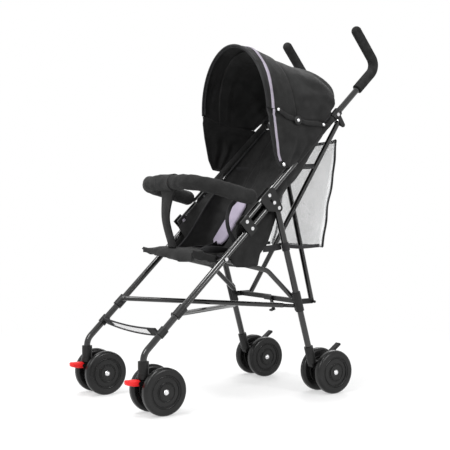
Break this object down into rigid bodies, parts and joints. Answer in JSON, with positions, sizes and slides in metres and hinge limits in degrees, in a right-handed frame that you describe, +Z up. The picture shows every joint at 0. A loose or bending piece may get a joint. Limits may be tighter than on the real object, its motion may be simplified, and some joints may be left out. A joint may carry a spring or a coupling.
{
  "type": "umbrella stroller",
  "caption": "Folding umbrella stroller with hooked handles, scissor frame, twin swivel wheels, sling seat, padded bumper, fold-back hood and mesh bag.",
  "frame": {"origin": "middle of the bounding box on the floor", "axes": "+Z up, -Y is the front that the child faces, +X is the child's left"},
  "size_m": [0.4412, 0.8411, 1.0678],
  "materials": {
    "frame_tube": "gloss black paint",
    "fitting": "black moulded plastic",
    "bright_metal": "bright rivets, axles and caps",
    "wheel": "black foam tyre on a plastic wheel",
    "foam": "black foam",
    "red_plastic": "red levers",
    "cloth": "black woven polyester",
    "mesh": "pale grey open mesh",
    "strap": "black webbing",
    "hoop": "black plastic strip"
  },
  "bodies": {
    "seat": {"seat_sling": "cloth", "hood_back": "cloth", "bumper_bar": "cloth", "crotch_strap": "cloth", "storage_bag": "mesh", "footrest_strap": "strap"},
    "seat_base": {"seat_base": "cloth"},
    "canopy": {"hood_front": "cloth", "hood_hoop": "hoop"},
    "side_left": {"handle_tube_left": "frame_tube", "handle_grip_left": "foam", "front_leg_left": "frame_tube", "side_brackets_left": "fitting", "rivets_left": "bright_metal", "caster_socket_left": "fitting", "hood_link_left": "fitting", "hood_wing_left": "cloth"},
    "rear_leg_left": {"rear_leg_left": "frame_tube", "rear_foot_left": "fitting", "rear_bracket_left": "fitting", "rear_axle_left": "bright_metal"},
    "caster_left": {"caster_fork_left": "fitting", "front_axle_left": "bright_metal"},
    "swivel_lock_left": {"swivel_lock_left": "red_plastic"},
    "brake_pedal_left": {"brake_pedal_left": "fitting"},
    "seat_rail_left": {"seat_rail_left": "frame_tube"},
    "lower_bar_left": {"lower_bar_left": "frame_tube"},
    "rear_bar_left": {"rear_bar_left": "frame_tube"},
    "brace_bar_left": {"brace_bar_left": "frame_tube"},
    "hood_arm_left": {"hood_arm_left": "fitting"},
    "front_wheel_left_outer": {"front_wheel_left_outer": "wheel"},
    "front_wheel_left_inner": {"front_wheel_left_inner": "wheel"},
    "rear_wheel_left_outer": {"rear_wheel_left_outer": "wheel"},
    "rear_wheel_left_inner": {"rear_wheel_left_inner": "wheel"},
    "side_right": {"handle_tube_right": "frame_tube", "handle_grip_right": "foam", "front_leg_right": "frame_tube", "side_brackets_right": "fitting", "rivets_right": "bright_metal", "caster_socket_right": "fitting", "hood_link_right": "fitting", "hood_wing_right": "cloth"},
    "rear_leg_right": {"rear_leg_right": "frame_tube", "rear_foot_right": "fitting", "rear_bracket_right": "fitting", "rear_axle_right": "bright_metal"},
    "caster_right": {"caster_fork_right": "fitting", "front_axle_right": "bright_metal"},
    "swivel_lock_right": {"swivel_lock_right": "red_plastic"},
    "brake_pedal_right": {"brake_pedal_right": "fitting"},
    "seat_rail_right": {"seat_rail_right": "frame_tube"},
    "lower_bar_right": {"lower_bar_right": "frame_tube"},
    "rear_bar_right": {"rear_bar_right": "frame_tube"},
    "brace_bar_right": {"brace_bar_right": "frame_tube"},
    "hood_arm_right": {"hood_arm_right": "fitting"},
    "front_wheel_right_outer": {"front_wheel_right_outer": "wheel"},
    "front_wheel_right_inner": {"front_wheel_right_inner": "wheel"},
    "rear_wheel_right_outer": {"rear_wheel_right_outer": "wheel"},
    "rear_wheel_right_inner": {"rear_wheel_right_inner": "wheel"},
    "brace_lock": {"brace_lock": "fitting"}
  },
  "joints": [
    {"name": "close_left", "type": "slide", "parent": "seat", "child": "side_left", "axis": [-1, 0, 0], "range_m": [0, 0.10001]},
    {"name": "fold", "type": "hinge", "parent": "side_left", "child": "rear_leg_left", "pos_m": [0.17, 0.05134, 0.53347], "axis": [-1, 0, 0], "range_deg": [0, 34], "deforming": ["seat_sling", "hood_back", "bumper_bar", "storage_bag", "footrest_strap", "seat_base", "hood_front", "hood_hoop", "crotch_strap"]},
    {"name": "rail_left_turn", "type": "hinge", "parent": "side_left", "child": "seat_rail_left", "pos_m": [0.148, -0.12363, 0.39508], "axis": [-1, 0, 0], "range_deg": [0, 51]},
    {"name": "lower_left_turn", "type": "hinge", "parent": "side_left", "child": "lower_bar_left", "pos_m": [0.142, -0.26247, 0.25051], "axis": [0.7347, 0.5208, -0.4348], "range_deg": [0, 47.17]},
    {"name": "rear_bar_left_turn", "type": "hinge", "parent": "side_left", "child": "rear_bar_left", "pos_m": [0.165, 0.27348, 0.77903], "axis": [-0.5435, -0.703, 0.4587], "range_deg": [0, 25.1]},
    {"name": "brace_left_turn", "type": "hinge", "parent": "rear_leg_left", "child": "brace_bar_left", "pos_m": [0.148, 0.142, 0.267], "axis": [0, 0.962, 0.2729], "range_deg": [0, 68]},
    {"name": "hood_arm_left_turn", "type": "hinge", "parent": "side_left", "child": "hood_arm_left", "pos_m": [0.184, 0.11486, 0.77999], "axis": [-1, 0, 0], "range_deg": [0, 40]},
    {"name": "caster_left_swivel", "type": "hinge", "parent": "side_left", "child": "caster_left", "pos_m": [0.17, -0.37, 0.1], "axis": [0, 0, 1], "continuous": true},
    {"name": "swivel_lock_left_flip", "type": "hinge", "parent": "caster_left", "child": "swivel_lock_left", "pos_m": [0.17, -0.384, 0.085], "axis": [-1, 0, 0], "range_deg": [0, 25]},
    {"name": "brake_left_press", "type": "hinge", "parent": "rear_leg_left", "child": "brake_pedal_left", "pos_m": [0.17, 0.231, 0.1045], "axis": [-1, 0, 0], "range_deg": [0, 18]},
    {"name": "front_wheel_left_outer_spin", "type": "hinge", "parent": "caster_left", "child": "front_wheel_left_outer", "pos_m": [0.204, -0.328, 0.0625], "axis": [1, 0, 0], "continuous": true},
    {"name": "front_wheel_left_inner_spin", "type": "hinge", "parent": "caster_left", "child": "front_wheel_left_inner", "pos_m": [0.136, -0.328, 0.0625], "axis": [1, 0, 0], "continuous": true},
    {"name": "rear_wheel_left_outer_spin", "type": "hinge", "parent": "rear_leg_left", "child": "rear_wheel_left_outer", "pos_m": [0.204, 0.229, 0.0625], "axis": [1, 0, 0], "continuous": true},
    {"name": "rear_wheel_left_inner_spin", "type": "hinge", "parent": "rear_leg_left", "child": "rear_wheel_left_inner", "pos_m": [0.136, 0.229, 0.0625], "axis": [1, 0, 0], "continuous": true},
    {"name": "close_right", "type": "slide", "parent": "seat", "child": "side_right", "axis": [1, 0, 0], "range_m": [0, 0.10001]},
    {"name": "rear_leg_right_swing", "type": "hinge", "parent": "side_right", "child": "rear_leg_right", "pos_m": [-0.17, 0.05134, 0.53347], "axis": [-1, 0, 0], "range_deg": [0, 34]},
    {"name": "rail_right_turn", "type": "hinge", "parent": "side_right", "child": "seat_rail_right", "pos_m": [-0.148, -0.12363, 0.39508], "axis": [-1, 0, 0], "range_deg": [0, 51]},
    {"name": "lower_right_turn", "type": "hinge", "parent": "side_right", "child": "lower_bar_right", "pos_m": [-0.142, -0.26247, 0.27151], "axis": [0.7347, -0.5208, 0.4348], "range_deg": [0, 47.17]},
    {"name": "rear_bar_right_turn", "type": "hinge", "parent": "side_right", "child": "rear_bar_right", "pos_m": [-0.165, 0.29747, 0.77903], "axis": [-0.5435, 0.703, -0.4587], "range_deg": [0, 25.1]},
    {"name": "brace_right_turn", "type": "hinge", "parent": "rear_leg_right", "child": "brace_bar_right", "pos_m": [-0.148, 0.142, 0.267], "axis": [0, -0.962, -0.2729], "range_deg": [0, 68]},
    {"name": "hood_arm_right_turn", "type": "hinge", "parent": "side_right", "child": "hood_arm_right", "pos_m": [-0.184, 0.11486, 0.77999], "axis": [-1, 0, 0], "range_deg": [0, 40]},
    {"name": "caster_right_swivel", "type": "hinge", "parent": "side_right", "child": "caster_right", "pos_m": [-0.17, -0.37, 0.1], "axis": [0, 0, 1], "continuous": true},
    {"name": "swivel_lock_right_flip", "type": "hinge", "parent": "caster_right", "child": "swivel_lock_right", "pos_m": [-0.17, -0.384, 0.085], "axis": [-1, 0, 0], "range_deg": [0, 25]},
    {"name": "brake_right_press", "type": "hinge", "parent": "rear_leg_right", "child": "brake_pedal_right", "pos_m": [-0.17, 0.231, 0.1045], "axis": [-1, 0, 0], "range_deg": [0, 18]},
    {"name": "front_wheel_right_outer_spin", "type": "hinge", "parent": "caster_right", "child": "front_wheel_right_outer", "pos_m": [-0.204, -0.328, 0.0625], "axis": [1, 0, 0], "continuous": true},
    {"name": "front_wheel_right_inner_spin", "type": "hinge", "parent": "caster_right", "child": "front_wheel_right_inner", "pos_m": [-0.136, -0.328, 0.0625], "axis": [1, 0, 0], "continuous": true},
    {"name": "rear_wheel_right_outer_spin", "type": "hinge", "parent": "rear_leg_right", "child": "rear_wheel_right_outer", "pos_m": [-0.204, 0.229, 0.0625], "axis": [1, 0, 0], "continuous": true},
    {"name": "rear_wheel_right_inner_spin", "type": "hinge", "parent": "rear_leg_right", "child": "rear_wheel_right_inner", "pos_m": [-0.136, 0.229, 0.0625], "axis": [1, 0, 0], "continuous": true},
    {"name": "seat_base_turn", "type": "hinge", "parent": "seat", "child": "seat_base", "pos_m": [0, -0.12363, 0.39508], "axis": [-1, 0, 0], "range_deg": [0, 51]},
    {"name": "canopy_fold", "type": "hinge", "parent": "seat", "child": "canopy", "pos_m": [0, 0.11486, 0.77999], "axis": [-1, 0, 0], "range_deg": [0, 40]},
    {"name": "brace_lock_swing", "type": "hinge", "parent": "brace_bar_left", "child": "brace_lock", "pos_m": [0.028, 0.142, 0.267], "axis": [0, 0.962, 0.2729], "range_deg": [0, 50]}
  ],
  "couplings": [
    {"joint": "close_left", "follows": "fold", "m_per_rad": 0.16852},
    {"joint": "rail_left_turn", "follows": "fold", "ratio": 1.5},
    {"joint": "lower_left_turn", "follows": "fold", "ratio": 1.3874},
    {"joint": "rear_bar_left_turn", "follows": "fold", "ratio": 0.73832},
    {"joint": "brace_left_turn", "follows": "fold", "ratio": 2},
    {"joint": "hood_arm_left_turn", "follows": "canopy_fold", "ratio": 1},
    {"joint": "close_right", "follows": "fold", "m_per_rad": 0.16852},
    {"joint": "rear_leg_right_swing", "follows": "fold", "ratio": 1},
    {"joint": "rail_right_turn", "follows": "fold", "ratio": 1.5},
    {"joint": "lower_right_turn", "follows": "fold", "ratio": 1.3874},
    {"joint": "rear_bar_right_turn", "follows": "fold", "ratio": 0.73832},
    {"joint": "brace_right_turn", "follows": "fold", "ratio": 2},
    {"joint": "hood_arm_right_turn", "follows": "canopy_fold", "ratio": 1},
    {"joint": "seat_base_turn", "follows": "fold", "ratio": 1.5}
  ]
}
